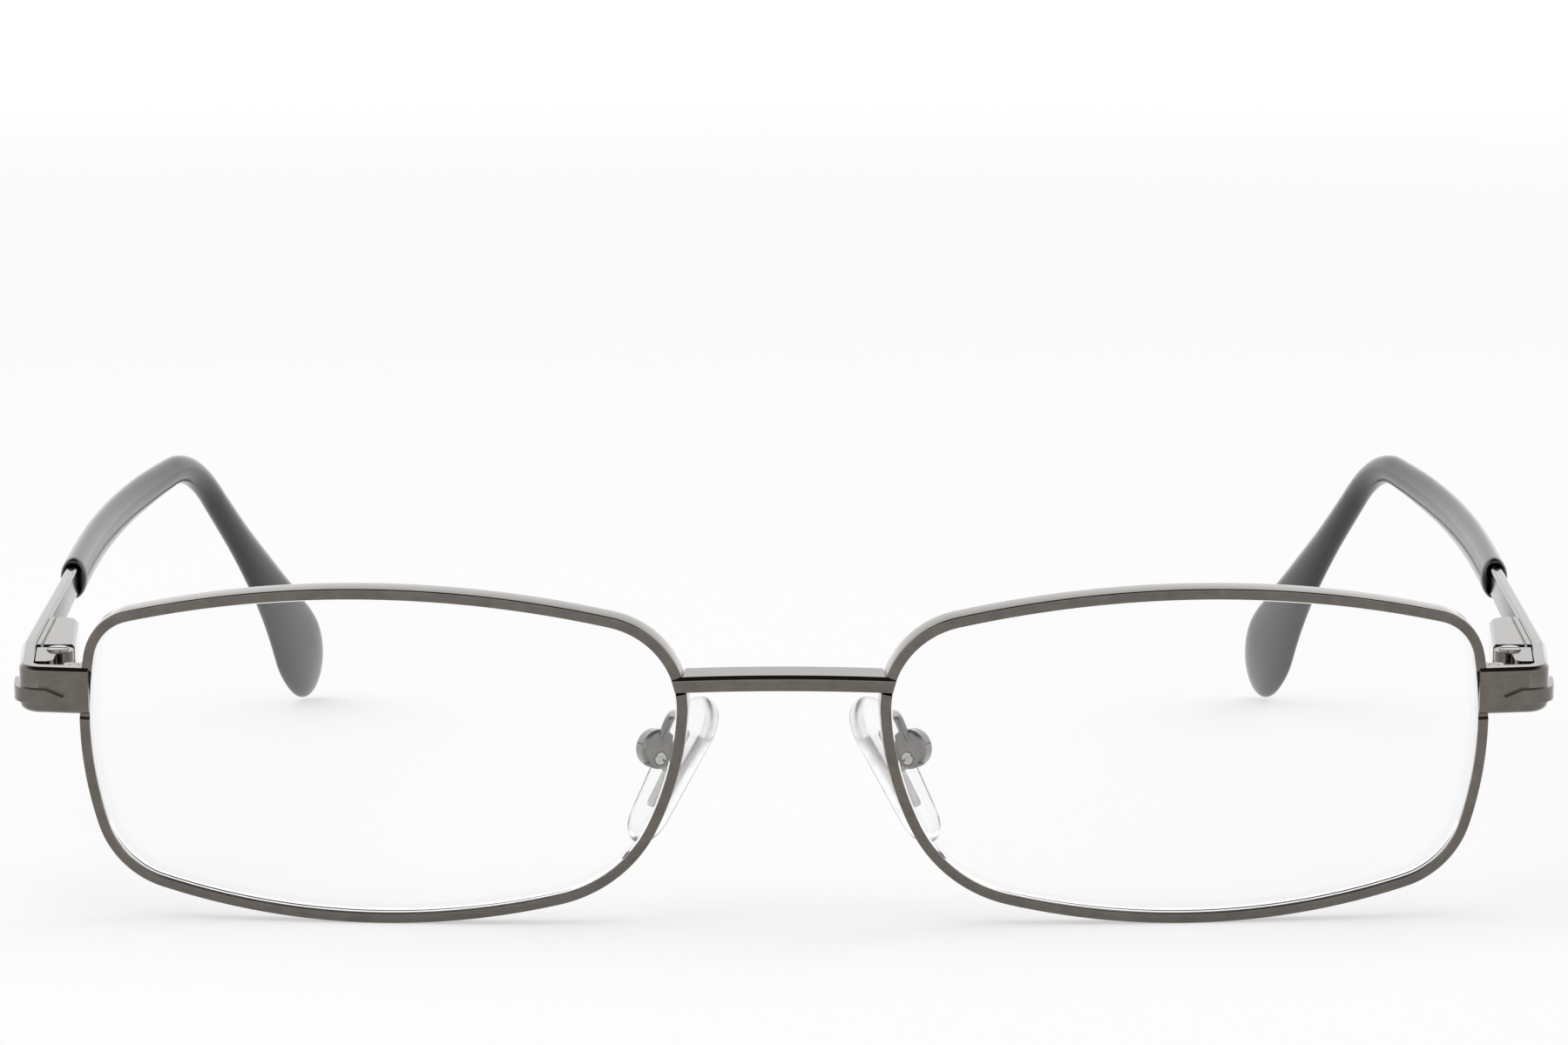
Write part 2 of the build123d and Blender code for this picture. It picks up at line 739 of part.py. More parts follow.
with BuildPart() as pad_core:
    add(pad_core_solid(0))
    with BuildSketch(pad_side):
        Circle(pad_screw_radius + screw_play)
    extrude(amount=overrun, both=True, mode=Mode.SUBTRACT)

with BuildPart() as nose_pad:
    with BuildSketch(pad_face.offset(-pad_thickness / 2)):
        with Locations(pad_place):
            upper = pad_length / 2 - pad_upper_radius
            lower = pad_lower_radius - pad_length / 2
            with Locations((0, upper)):
                Circle(pad_upper_radius)
            with Locations((0, lower)):
                Circle(pad_lower_radius)
            make_hull()
    extrude(amount=pad_thickness)
    fillet(nose_pad.edges(), pad_edge_radius)
    add(pad_core_solid(braze_gap), mode=Mode.SUBTRACT)

with BuildPart() as pad_box:
    with BuildSketch(pad_side.offset(-box_thickness / 2)):
        with Locations((box_centre_out, box_centre_up)):
            Circle(box_radius)
    extrude(amount=box_thickness)
    chamfer(pad_box.faces().sort_by(Axis.Y)[0].edges(), box_chamfer)
    with BuildSketch(pad_side):
        with Locations((box_slot_reach, 0)):
            Rectangle(overrun, overrun, align=(Align.MAX, Align.CENTER))
    extrude(amount=box_slot / 2, both=True, mode=Mode.SUBTRACT)
    with BuildSketch(pad_side):
        Circle(pad_screw_radius + screw_play)
    extrude(amount=overrun, both=True, mode=Mode.SUBTRACT)
    with BuildSketch(pad_side.offset(box_thickness / 2)):
        Circle(pad_screw_head_radius + screw_play)
    extrude(amount=-pad_screw_head_height - screw_play, mode=Mode.SUBTRACT)

with BuildPart() as pad_screw:
    with BuildSketch(pad_side.offset(-box_thickness / 2)):
        Circle(pad_screw_radius)
    extrude(amount=box_thickness - pad_screw_head_height)
    with BuildSketch(pad_side.offset(box_thickness / 2)):
        Circle(pad_screw_head_radius)
    extrude(amount=-pad_screw_head_height)
    add(slot_cut(pad_side.offset(box_thickness / 2), pad_screw_head_radius + screw_play), mode=Mode.SUBTRACT)


def nose_edge(up):
    """How far towards the nose the eye outline's side lies at a height, from the eye's middle."""
    ends = [Vector(x * eye_width / 2, y * eye_height / 2) for x, y in eye_corner_shares[2:]]
    chord = (ends[1] - ends[0]).length
    radius = (chord**2 / 4 + nose_side_bulge**2) / (2 * nose_side_bulge)
    inward = (ends[1] - ends[0]).rotate(Axis.Z, 90).normalized()
    centre = (ends[0] + ends[1]) / 2 + inward * (radius - nose_side_bulge)
    return (radius**2 - (up - centre.Y) ** 2) ** 0.5 - centre.X


def beside_rim(up, deep):
    """Point on the pad arm's line beside the eyewire's nose side, at a height and depth."""
    out = nose_edge(up) + rim_face / 2 + arm_foot_in
    return eye.from_local_coords(Vector(-out, up, -sag(hypot(out, up)) - deep))


# Pad arm: wire from the eyewire's nose side, up and back over to the box
box_middle = pad_side.from_local_coords(Vector(box_centre_out, box_centre_up, 0))
arm_points = [
    beside_rim(-arm_foot_down, rim_depth + arm_seat),
    beside_rim(arm_knee_up, rim_depth + arm_seat),
    box_middle + Vector(-arm_crown_in, -arm_crown_ahead, arm_crown_up),
    box_middle,
]
with BuildPart() as pad_arm:
    with BuildLine() as arm_line:
        FilletPolyline(*arm_points, radius=arm_bend_radius)
    arm_wire = arm_line.wires()[0]
    with BuildSketch(Plane(origin=arm_wire @ 0, z_dir=arm_wire % 0)):
        Circle(arm_wire_radius)
    sweep(path=arm_wire)
    add(rim_block(braze_gap), mode=Mode.SUBTRACT)
    with BuildSketch(pad_side.offset(-box_thickness / 2 - braze_gap)):
        with Locations((box_centre_out, box_centre_up)):
            Circle(box_radius + braze_gap)
    extrude(amount=box_thickness + 2 * braze_gap, mode=Mode.SUBTRACT)

# Stand the glasses on the floor: origin under the middle of the whole, at its lowest level
paired = {
    "rim": rim,
    "lens": lens,
    "end_piece": end_piece,
    "rim_lock_upper": rim_lock_upper,
    "rim_lock_lower": rim_lock_lower,
    "rim_lock_screw": rim_lock_screw,
    "hinge_front": hinge_front,
    "hinge_screw": hinge_screw,
    "hinge_slider": hinge_slider,
    "hinge_spring": hinge_spring,
    "hinge_housing": hinge_housing,
    "temple": temple,
    "temple_tip": temple_tip,
    "pad_arm": pad_arm,
    "pad_box": pad_box,
    "pad_screw": pad_screw,
    "pad_core": pad_core,
    "nose_pad": nose_pad,
}
boxes = [piece.part.bounding_box() for piece in list(paired.values()) + [bridge]]
lowest = min(box.min.Z for box in boxes)
middle = (min(box.min.Y for box in boxes) + max(box.max.Y for box in boxes)) / 2
stand = Location((0, -middle, -lowest))

bridge_standing = bridge.part.located(stand)
bridge_standing.label = "bridge"
export_step(bridge_standing, "parts/bridge.step")

for name, piece in paired.items():
    left = piece.part.located(stand)
    left.label = name + "_left"
    export_step(left, "parts/" + left.label + ".step")
    right = mirror(left, about=Plane.YZ)
    right.label = name + "_right"
    export_step(right, "parts/" + right.label + ".step")

# Lines that the joints turn and slide on, on the left side
print("stand", stand.position)
print("pin", stand.position + hinge_point, "axis", temple_up, "slide", temple_back)
print("pad screw", stand.position + pad_screw_point, "axis", pad_across)
print("rise", rise_angle, "lean", lean_angle, "line length", line_length)
print("spring front end", stand.position + spring_foot, "spring gap", spring_length / spring_turns - 2 * spring_wire_radius)
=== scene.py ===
import logging
from dataclasses import dataclass
from enum import Enum
from math import atan2, cos, hypot, pi, radians, sin, sqrt, tan

import bmesh
import bpy
import numpy as np
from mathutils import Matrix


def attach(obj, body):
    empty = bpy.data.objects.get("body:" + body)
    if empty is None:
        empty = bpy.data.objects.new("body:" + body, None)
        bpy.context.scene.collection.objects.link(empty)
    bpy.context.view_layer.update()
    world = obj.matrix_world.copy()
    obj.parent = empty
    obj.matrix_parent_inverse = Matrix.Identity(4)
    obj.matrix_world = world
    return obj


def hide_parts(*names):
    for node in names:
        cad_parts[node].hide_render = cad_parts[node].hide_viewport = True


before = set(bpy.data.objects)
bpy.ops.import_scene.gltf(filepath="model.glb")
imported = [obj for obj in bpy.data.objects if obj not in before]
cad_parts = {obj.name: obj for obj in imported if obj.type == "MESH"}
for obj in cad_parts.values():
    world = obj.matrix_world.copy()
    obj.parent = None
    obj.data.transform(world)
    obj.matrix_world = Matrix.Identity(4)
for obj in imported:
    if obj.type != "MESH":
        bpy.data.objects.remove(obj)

log = logging.getLogger("eyeglasses")

MM = 0.001
UP = np.array([0.0, 0.0, 1.0])
ACROSS = np.array([1.0, 0.0, 0.0])
WHITE = (1.0, 1.0, 1.0, 1.0)
MERGE_REACH = 0.0015 * MM
FLAT_ANGLE = radians(0.5)
CREASE_ANGLE = radians(30.0)


class Side(Enum):
    """The wearer's side that a paired piece is on, with the sign of its X."""

    LEFT = 1.0
    RIGHT = -1.0

    @property
    def word(self) -> str:
        """The side's word in node and piece names."""
        return self.name.lower()


class Rides(Enum):
    """The body that a piece moves with, as the start of the body's name."""

    FRONT = "front"
    PIN = "pin"
    SLIDER = "slider"
    ARM = "arm"
    PAD = "pad"

    def body(self, side: Side) -> str:
        """The full name of the body on a side."""
        return "front" if self is Rides.FRONT else f"{self.value}_{side.word}"


# Shapes worked out as arrays


def unit(vectors: np.ndarray) -> np.ndarray:
    """Vectors along the last axis, each scaled to length one."""
    return vectors / np.linalg.norm(vectors, axis=-1, keepdims=True)


def placed(origin: np.ndarray, axes: tuple[np.ndarray, ...], local: np.ndarray) -> np.ndarray:
    """Local points in the frame of the whole: the origin plus each number times its axis."""
    return origin + local @ np.stack(axes)


def rounded(corners: np.ndarray, reach: np.ndarray | float, steps: int,
            closed: bool = True) -> np.ndarray:
    """A run of straight lines whose corners are rounded.

    Each corner becomes a quadratic curve between the points one reach before and after it:
    before times (1 - t) squared, plus corner times 2 t (1 - t), plus after times t squared.

    Args:
        corners: The corners, one a row.
        reach: How far from a corner its rounding starts, one number or one for each corner.
        steps: Points along each rounding.
        closed: Whether the lines close. An open run keeps both ends as they are.

    Returns:
        The rounded line's points, one a row.
    """
    reach = np.broadcast_to(reach, len(corners))[:, None]
    before = corners + unit(np.roll(corners, 1, axis=0) - corners) * reach
    after = corners + unit(np.roll(corners, -1, axis=0) - corners) * reach
    t = np.linspace(0, 1, steps)[None, :, None]
    curve = before[:, None] * (1 - t) ** 2 + corners[:, None] * 2 * t * (1 - t)
    curve = curve + after[:, None] * t**2
    if closed:
        return curve.reshape(-1, corners.shape[1])
    return np.vstack([corners[:1], curve[1:-1].reshape(-1, corners.shape[1]), corners[-1:]])


def lifted(flat: np.ndarray, level: float) -> np.ndarray:
    """Flat points, one a row, with a level as their third number."""
    return np.column_stack([flat, np.full(len(flat), level)])


def tube(path: np.ndarray, radius: float, around: int = 20) -> np.ndarray:
    """A round wire along a path.

    Each ring is the path's point plus the radius times a turning unit vector. The two directions
    are square to the path, the first also square to ACROSS.

    Args:
        path: The middle line's points, one a row.
        radius: The wire's radius.
        around: Points on each ring.

    Returns:
        Points as an array of ring, place on the ring and coordinate.
    """
    along = unit(np.gradient(path, axis=0))
    first = unit(np.cross(along, ACROSS))
    second = np.cross(along, first)
    turn = np.linspace(0, 2 * pi, around, endpoint=False)[None, :, None]
    return path[:, None] + radius * (first[:, None] * np.cos(turn) + second[:, None] * np.sin(turn))


def surface(name: str, points: np.ndarray, ring: bool = False,
            sharp: float = 38.0) -> bpy.types.Object:
    """A closed mesh from a grid whose second parameter always runs round a loop.

    The faces join each point to the next on both parameters. Where the first parameter doesn't
    close, both end loops close on a point at their middle. Faces are turned outwards by the sign
    of the enclosed volume, the sum of each triangle's corner products.

    Args:
        name: The object's name.
        points: Points in millimetres, as an array of row, place on the loop and coordinate.
        ring: Whether the first parameter closes too.
        sharp: Edges over this angle in degrees stay sharp.

    Returns:
        The new object.
    """
    rows, around = points.shape[:2]
    index = np.arange(rows * around).reshape(rows, around)
    here = index if ring else index[:-1]
    beyond = np.roll(index, -1, axis=0) if ring else index[1:]
    corners = [here, np.roll(here, -1, 1), np.roll(beyond, -1, 1), beyond]
    quads = np.stack(corners, axis=-1).reshape(-1, 4)
    verts = points.reshape(-1, 3)
    fans = np.zeros((0, 3), dtype=int)
    if not ring:
        verts = np.vstack([verts, points[0].mean(axis=0), points[-1].mean(axis=0)])
        first, last = index[0], index[-1]
        start = np.full(around, rows * around)
        fans = np.vstack([
            np.stack([start, np.roll(first, -1), first], axis=-1),
            np.stack([start + 1, last, np.roll(last, -1)], axis=-1),
        ])
    halves = np.vstack([quads[:, :3], quads[:, [0, 2, 3]], fans])
    a, b, c = (verts[halves[:, k]] for k in range(3))
    if np.einsum("ij,ij->", a, np.cross(b, c)) < 0:
        quads, fans = quads[:, ::-1], fans[:, ::-1]
    mesh = bpy.data.meshes.new(name)
    mesh.from_pydata((verts * MM).tolist(), [], quads.tolist() + fans.tolist())
    mesh.polygons.foreach_set("use_smooth", np.ones(len(mesh.polygons), dtype=bool))
    mesh.set_sharp_from_angle(angle=radians(sharp))
    piece = bpy.data.objects.new(name, mesh)
    bpy.context.scene.collection.objects.link(piece)
    return piece


# Shared shader nodes and node groups


class Wiring:
    """Adds nodes to one node tree and joins them.

    A value is either a socket to link from or what an input is set to.
    """

    def __init__(self, tree: bpy.types.NodeTree) -> None:
        """Keeps the tree."""
        self.tree = tree

    def join(self, value: object, end: bpy.types.NodeSocket) -> None:
        """Links a socket to an input, or sets the input to a plain value.

        Args:
            value: The value.
            end: The input.
        """
        if isinstance(value, bpy.types.NodeSocket):
            self.tree.links.new(value, end)
        else:
            end.default_value = value

    def fill(self, node: bpy.types.Node, values: dict[str, object]) -> bpy.types.Node:
        """Gives a node's inputs their values.

        Args:
            node: The node.
            values: The values by the inputs' names.

        Returns:
            The same node.
        """
        for name, value in values.items():
            self.join(value, node.inputs[name])
        return node

    def add(self, kind: str, **values: object) -> bpy.types.Node:
        """A new node of a shader kind with its inputs' values."""
        return self.fill(self.tree.nodes.new(f"ShaderNode{kind}"), values)

    def math(self, operation: str, *values: object) -> bpy.types.NodeSocket:
        """The output of a math node.

        Args:
            operation: The node's operation.
            values: Its values in order.

        Returns:
            The output.
        """
        made = self.add("Math")
        made.operation = operation
        for value, end in zip(values, made.inputs):
            self.join(value, end)
        return made.outputs[0]

    def mapped(self, value: object, limits: tuple[object, ...],
               smooth: bool = False) -> bpy.types.NodeSocket:
        """A value moved from one range to another.

        Args:
            value: The value.
            limits: Both ends of the first range and of the second.
            smooth: Whether the move eases in and out.

        Returns:
            The moved value.
        """
        names = ("From Min", "From Max", "To Min", "To Max")
        made = self.add("MapRange", Value=value, **dict(zip(names, limits)))
        if smooth:
            made.interpolation_type = "SMOOTHSTEP"
        return made.outputs["Result"]

    def seen(self) -> bpy.types.NodeSocket:
        """One where a ray comes from the camera, a reflection or glass, and otherwise nought.

        Returns:
            The value.
        """
        rays = self.add("LightPath").outputs
        nearest = self.math("MAXIMUM", rays["Is Camera Ray"], rays["Is Glossy Ray"])
        return self.math("MAXIMUM", nearest, rays["Is Transmission Ray"])


@dataclass(frozen=True)
class Socket:
    """A named input or output of a node group."""

    name: str
    kind: str = "NodeSocketFloat"
    start: float | None = None


class Effect(Wiring):
    """A shader node group with named inputs and outputs, built once for many materials."""

    name: str = ""
    inputs: tuple[Socket, ...] = ()
    outputs: tuple[Socket, ...] = ()

    def __init__(self) -> None:
        """Makes the group, its sockets and its nodes."""
        super().__init__(bpy.data.node_groups.new(self.name, "ShaderNodeTree"))
        for direction, sockets in (("INPUT", self.inputs), ("OUTPUT", self.outputs)):
            for socket in sockets:
                made = self.tree.interface.new_socket(
                    socket.name, in_out=direction, socket_type=socket.kind)
                if socket.start is not None:
                    made.default_value = socket.start
        enter = self.tree.nodes.new("NodeGroupInput").outputs
        self.fill(self.tree.nodes.new("NodeGroupOutput"), self.wire(enter))

    def noise(self, place: object, scale: object, **values: object) -> bpy.types.NodeSocket:
        """The value of a noise read at a place, with its other inputs' values."""
        return self.add("TexNoise", Vector=place, Scale=scale, **values).outputs["Fac"]

    def wire(self, enter: bpy.types.NodeOutputs) -> dict[str, object]:
        """Makes the nodes between the group's inputs, given as sockets, and its outputs' values."""
        raise NotImplementedError


class Brushing(Effect):
    """Fine parallel brush lines with a slow cloudy tone under them, as on a satin metal."""

    name = "brushing"
    inputs = (Socket("Place", "NodeSocketVector"), Socket("Lines", start=3000.0),
              Socket("Cloud", start=500.0), Socket("Cloud Share", start=0.5))
    outputs = (Socket("Tone"), Socket("Height"))
    stretch: tuple[float, float, float] = (0.05, 1.0, 1.0)

    def wire(self, enter: bpy.types.NodeOutputs) -> dict[str, object]:
        """Noise stretched along X gives the lines, and even noise the cloud.

        Args:
            enter: The group's inputs as sockets.

        Returns:
            The tone and the height.
        """
        place = enter["Place"]
        stretched = self.add("Mapping", Vector=place, Scale=self.stretch).outputs[0]
        lines = self.noise(stretched, enter["Lines"], Detail=3.0)
        cloud = self.noise(place, enter["Cloud"], Detail=4.0)
        cloudy = self.math("MULTIPLY", cloud, enter["Cloud Share"])
        lined = self.math("MULTIPLY", lines, self.math("SUBTRACT", 1.0, enter["Cloud Share"]))
        return {"Tone": self.math("ADD", cloudy, lined), "Height": lines}


class Handling(Effect):
    """Faint hairline scratches and finger marks, as on a polished surface that is worn daily."""

    name = "handling"
    inputs = (Socket("Place", "NodeSocketVector"), Socket("Scratches", start=900.0),
              Socket("Smears", start=120.0))
    outputs = (Socket("Marks"), Socket("Height"))
    hairline: float = 0.004

    def wire(self, enter: bpy.types.NodeOutputs) -> dict[str, object]:
        """Thin ridges of a bent noise give the scratches, and slow noise the smears.

        Args:
            enter: The group's inputs as sockets.

        Returns:
            The marks and the height.
        """
        place = enter["Place"]
        scratch = self.noise(place, enter["Scratches"], Detail=1.0, Distortion=2.5)
        smear = self.noise(place, enter["Smears"], Detail=5.0, Roughness=0.65)
        ridge = self.math("ABSOLUTE", self.math("SUBTRACT", scratch, 0.5))
        line = self.math("LESS_THAN", ridge, self.hairline)
        return {"Marks": smear, "Height": self.math("MULTIPLY", line, -1.0)}


@dataclass(frozen=True)
class Finish:
    """A surface finish: its colours, gloss and the marks on it.

    The effect's first output mixes both colours and both roughnesses, and marks are its inputs.
    """

    name: str
    slot: str
    effect: type[Effect]
    marks: dict[str, float]
    dark: tuple[float, float, float]
    light: tuple[float, float, float]
    roughness: tuple[float, float]
    metallic: float = 0.0
    coat: float = 0.0
    ior: float = 1.5
    specular: float = 0.5
    transmission: float = 0.0
    bump: float = 0.1
    bump_depth: float = 0.00002
    tone_range: tuple[float, float] = (0.35, 0.65)
    coat_roughness: float = 0.08
    shadow: tuple[float, float, float] = (0.93, 0.94, 0.94)

    def dress(self, effect: Effect) -> bpy.types.Material:
        """The material, with its colour, roughness and bump driven by an effect.

        Args:
            effect: The finish's effect, as built.

        Returns:
            The material.
        """
        material = bpy.data.materials.new(self.name)
        material.use_nodes = True
        wiring = Wiring(material.node_tree)
        group = wiring.add("Group")
        group.node_tree = effect.tree
        wiring.fill(group, {"Place": wiring.add("TexCoord").outputs["Object"], **self.marks})
        tone, height = group.outputs
        colours = wiring.add("ValToRGB", Fac=tone)
        ends = colours.color_ramp.elements
        for element, share, colour in zip(ends, self.tone_range, (self.dark, self.light)):
            element.position = share
            element.color = (*colour, 1.0)
        bump = wiring.add("Bump", Strength=self.bump, Distance=self.bump_depth, Height=height)
        shader = wiring.fill(wiring.tree.nodes["Principled BSDF"], {
            "Base Color": colours.outputs["Color"],
            "Roughness": wiring.mapped(tone, self.tone_range + self.roughness),
            "Normal": bump.outputs["Normal"],
            "Metallic": self.metallic,
            "Coat Weight": self.coat,
            "Coat Roughness": self.coat_roughness,
            "IOR": self.ior,
            "Specular IOR Level": self.specular,
            "Transmission Weight": self.transmission,
        })
        if self.transmission:
            self.clear_shadow(wiring, shader.outputs[0])
        return material

    def clear_shadow(self, wiring: Wiring, surface_out: bpy.types.NodeSocket) -> None:
        """Lets most light through to the floor, as a clear piece does, instead of a black shadow.

        Args:
            wiring: The clear material's nodes.
            surface_out: The output of its Principled BSDF.
        """
        through = wiring.add("BsdfTransparent", Color=(*self.shadow, 1.0))
        mix = wiring.add("MixShader")
        shadow_ray = wiring.add("LightPath").outputs["Is Shadow Ray"]
        for value, end in zip((shadow_ray, surface_out, through.outputs[0]), mix.inputs):
            wiring.join(value, end)
        wiring.fill(wiring.tree.nodes["Material Output"], {"Surface": mix.outputs[0]})


FINISHES: dict[str, Finish] = {
    "gunmetal": Finish("satin_gunmetal", "gunmetal", Brushing,
                       {"Lines": 5200.0, "Cloud": 650.0, "Cloud Share": 0.6},
                       (0.086, 0.075, 0.063), (0.138, 0.122, 0.105), (0.10, 0.18),
                       metallic=1.0, coat=0.85, ior=1.6, bump=0.05, tone_range=(0.3, 0.7)),
    "nickel": Finish("dark_nickel", "steel", Brushing,
                     {"Lines": 5200.0, "Cloud": 900.0, "Cloud Share": 0.7},
                     (0.105, 0.098, 0.092), (0.18, 0.17, 0.162), (0.06, 0.12),
                     metallic=1.0, coat=1.0, ior=1.6, bump=0.03, tone_range=(0.3, 0.7)),
    "steel": Finish("polished_steel", "steel", Brushing,
                    {"Lines": 6000.0, "Cloud": 900.0, "Cloud Share": 0.7},
                    (0.36, 0.35, 0.34), (0.52, 0.51, 0.50), (0.08, 0.16),
                    metallic=1.0, coat=0.2, bump=0.03, tone_range=(0.3, 0.7)),
    "tip_plastic": Finish("gloss_black_plastic", "tip_plastic", Handling,
                          {"Scratches": 140.0, "Smears": 110.0},
                          (0.007, 0.007, 0.0075), (0.013, 0.013, 0.0135), (0.12, 0.19),
                          coat=0.25, bump=0.008),
    "lens": Finish("clear_lens", "lens", Handling, {"Scratches": 90.0, "Smears": 70.0},
                   (0.985, 0.99, 0.99), (0.99, 0.995, 0.995), (0.0, 0.003),
                   transmission=1.0, specular=0.1, bump=0.002),
    "pad_plastic": Finish("clear_pad_plastic", "pad_plastic", Handling,
                          {"Scratches": 240.0, "Smears": 260.0},
                          (0.94, 0.95, 0.95), (0.98, 0.985, 0.985), (0.12, 0.24),
                          transmission=1.0, ior=1.4, bump=0.03),
}


class Finishes:
    """All finishes of the glasses, each built once."""

    def __init__(self) -> None:
        """Builds the effects and then the materials that use them."""
        effects = {kind: kind() for kind in (Brushing, Handling)}
        self.made = {key: finish.dress(effects[finish.effect]) for key, finish in FINISHES.items()}

    def put_on(self, piece: bpy.types.Object, finish: str) -> None:
        """Gives a piece a finish.

        Args:
            piece: The piece or the CAD node.
            finish: The finish's name here.
        """
        if piece.material_slots:
            for place in piece.material_slots:
                place.material = self.made[finish]
        else:
            piece.data.materials.append(self.made[finish])

    def slot(self, finish: str) -> str:
        """The record's slot that a finish belongs to."""
        return FINISHES[finish].slot


# Where everything lies


@dataclass(frozen=True)
class Layout:
    """Where the front, the eyes, the hinges and the temples lie, in millimetres."""

    stand: tuple[float, float, float] = (0.0, -65.0953, 15.1085)
    rise: float = radians(5.64084)
    pantoscopic: float = radians(2.0)
    wrap: float = radians(4.5)
    eye_spacing: float = 70.6
    front_radius: float = 130.0
    hinge_out: float = 64.65
    hinge_back: float = 13.3
    hinge_up: float = 4.45

    @property
    def front_back(self) -> np.ndarray:
        """Unit vector back through the front."""
        lean = self.rise + self.pantoscopic
        return np.array([0.0, cos(lean), sin(lean)])

    @property
    def front_up(self) -> np.ndarray:
        """Unit vector up the front."""
        lean = self.rise + self.pantoscopic
        return np.array([0.0, -sin(lean), cos(lean)])

    @property
    def temple_back(self) -> np.ndarray:
        """Unit vector back along the temples."""
        return np.array([0.0, cos(self.rise), sin(self.rise)])

    @property
    def temple_up(self) -> np.ndarray:
        """Unit vector along the hinge pins."""
        return np.array([0.0, -sin(self.rise), cos(self.rise)])

    @property
    def hinge(self) -> np.ndarray:
        """The left hinge's middle."""
        level = ACROSS * self.hinge_out + self.front_back * self.hinge_back
        return np.array(self.stand) + (level + self.front_up * self.hinge_up)

    @property
    def eye_ahead(self) -> np.ndarray:
        """Unit vector ahead out of the left eye's plane."""
        return ACROSS * sin(self.wrap) - self.front_back * cos(self.wrap)

    def eye_points(self, flat: np.ndarray, depth: np.ndarray | float) -> np.ndarray:
        """Points at a radial depth behind the front's sphere, over points of the left eye's plane.

        The distance behind the plane is the radius less the square root of the radius minus the
        depth, squared, less the distance from the pole, squared.

        Args:
            flat: Points in the eye's plane, across and up, along the last axis.
            depth: Depth behind the front's sphere, one number or one for each point.

        Returns:
            The points in the frame of the whole.
        """
        across = ACROSS * cos(self.wrap) + self.front_back * sin(self.wrap)
        radius = self.front_radius
        level = np.sqrt((radius - depth) ** 2 - (flat**2).sum(axis=-1)) - radius
        origin = np.array(self.stand) + ACROSS * self.eye_spacing / 2
        local = np.concatenate([flat, np.broadcast_to(level, flat.shape[:-1])[..., None]], axis=-1)
        return placed(origin, (across, self.front_up, self.eye_ahead), local)


@dataclass(frozen=True)
class EyeOutline:
    """The middle line of an eyewire: four bulged sides between four rounded corners."""

    width: float = 52.2
    height: float = 28.9
    corner_shares: tuple[tuple[float, float], ...] = (
        (0.902, -0.784), (0.97, 0.753), (-0.987, 0.733), (-0.776, -0.815))
    bulges: tuple[float, ...] = (1.9, 3.9, 2.6, 3.35)
    radii: tuple[float, ...] = (7.5, 4.7, 8.1, 12.0)
    corner_steps: int = 40
    side_steps: int = 120
    nose_side: int = 2

    @property
    def corners(self) -> np.ndarray:
        """The points where the sides' chords meet, one a row."""
        return np.array(self.corner_shares) * [self.width / 2, self.height / 2]

    def sides(self) -> tuple[np.ndarray, np.ndarray]:
        """The circles that the four sides are arcs of.

        A side's radius is the half chord squared plus the bulge squared, over twice the bulge, and
        its centre lies inwards of the chord's middle by the radius less the bulge.

        Returns:
            The centres, one a row, and the radii.
        """
        corners = self.corners
        bulge = np.array(self.bulges)
        chord = np.roll(corners, -1, axis=0) - corners
        length = np.linalg.norm(chord, axis=1)
        radius = (length**2 / 4 + bulge**2) / (2 * bulge)
        outward = unit(chord[:, ::-1] * [1.0, -1.0])
        centre = (corners + chord / 2) - outward * (radius - bulge)[:, None]
        return centre, radius

    def roundings(self) -> np.ndarray:
        """Centres of the corner roundings.

        Each lies where two circles meet, about the centres of its two sides, with the sides' radii
        less the corner's own, on the side that faces the corner.

        Returns:
            The centres, one a row, in the order of the corners.
        """
        centre, radius = self.sides()
        small = np.array(self.radii)
        before, after = np.roll(centre, 1, axis=0), centre
        near, far = np.roll(radius, 1) - small, radius - small
        gap = after - before
        apart = np.linalg.norm(gap, axis=1)
        along = (near**2 - far**2 + apart**2) / (2 * apart)
        off = np.sqrt(near**2 - along**2)
        ahead = gap / apart[:, None]
        square = ahead[:, ::-1] * [1.0, -1.0]
        foot = before + ahead * along[:, None]
        both = np.stack([foot + square * off[:, None], foot - square * off[:, None]])
        nearest = np.linalg.norm(both - self.corners, axis=2).argmin(axis=0)
        return both[nearest, np.arange(len(small))]

    def loop(self, grow: float, count: int = 480) -> tuple[np.ndarray, np.ndarray]:
        """The outline grown by a distance, anticlockwise, in points evenly spaced along it.

        Args:
            grow: How far outwards.
            count: How many points.

        Returns:
            The middle line's points and the outward directions, one a row.
        """
        centre, radius = self.sides()
        small = np.array(self.radii)
        rounding = self.roundings()
        pieces, normals = [], []
        for corner in range(len(small)):
            side_in = rounding[corner] - np.roll(centre, 1, axis=0)[corner]
            side_out = rounding[corner] - centre[corner]
            turn = np.unwrap([atan2(side_in[1], side_in[0]), atan2(side_out[1], side_out[0])])
            bend = np.linspace(turn[0], turn[1], self.corner_steps)
            round_normal = np.stack([np.cos(bend), np.sin(bend)], axis=1)
            pieces.append(rounding[corner] + small[corner] * round_normal)
            following = rounding[(corner + 1) % len(small)] - centre[corner]
            sweep = np.unwrap([turn[1], atan2(following[1], following[0])])
            run = np.linspace(sweep[0], sweep[1], self.side_steps)[1:-1]
            side_normal = np.stack([np.cos(run), np.sin(run)], axis=1)
            pieces.append(centre[corner] + radius[corner] * side_normal)
            normals += [round_normal, side_normal]
        points, outward = np.vstack(pieces), np.vstack(normals)
        return even_loop(points + outward * grow, outward, count)


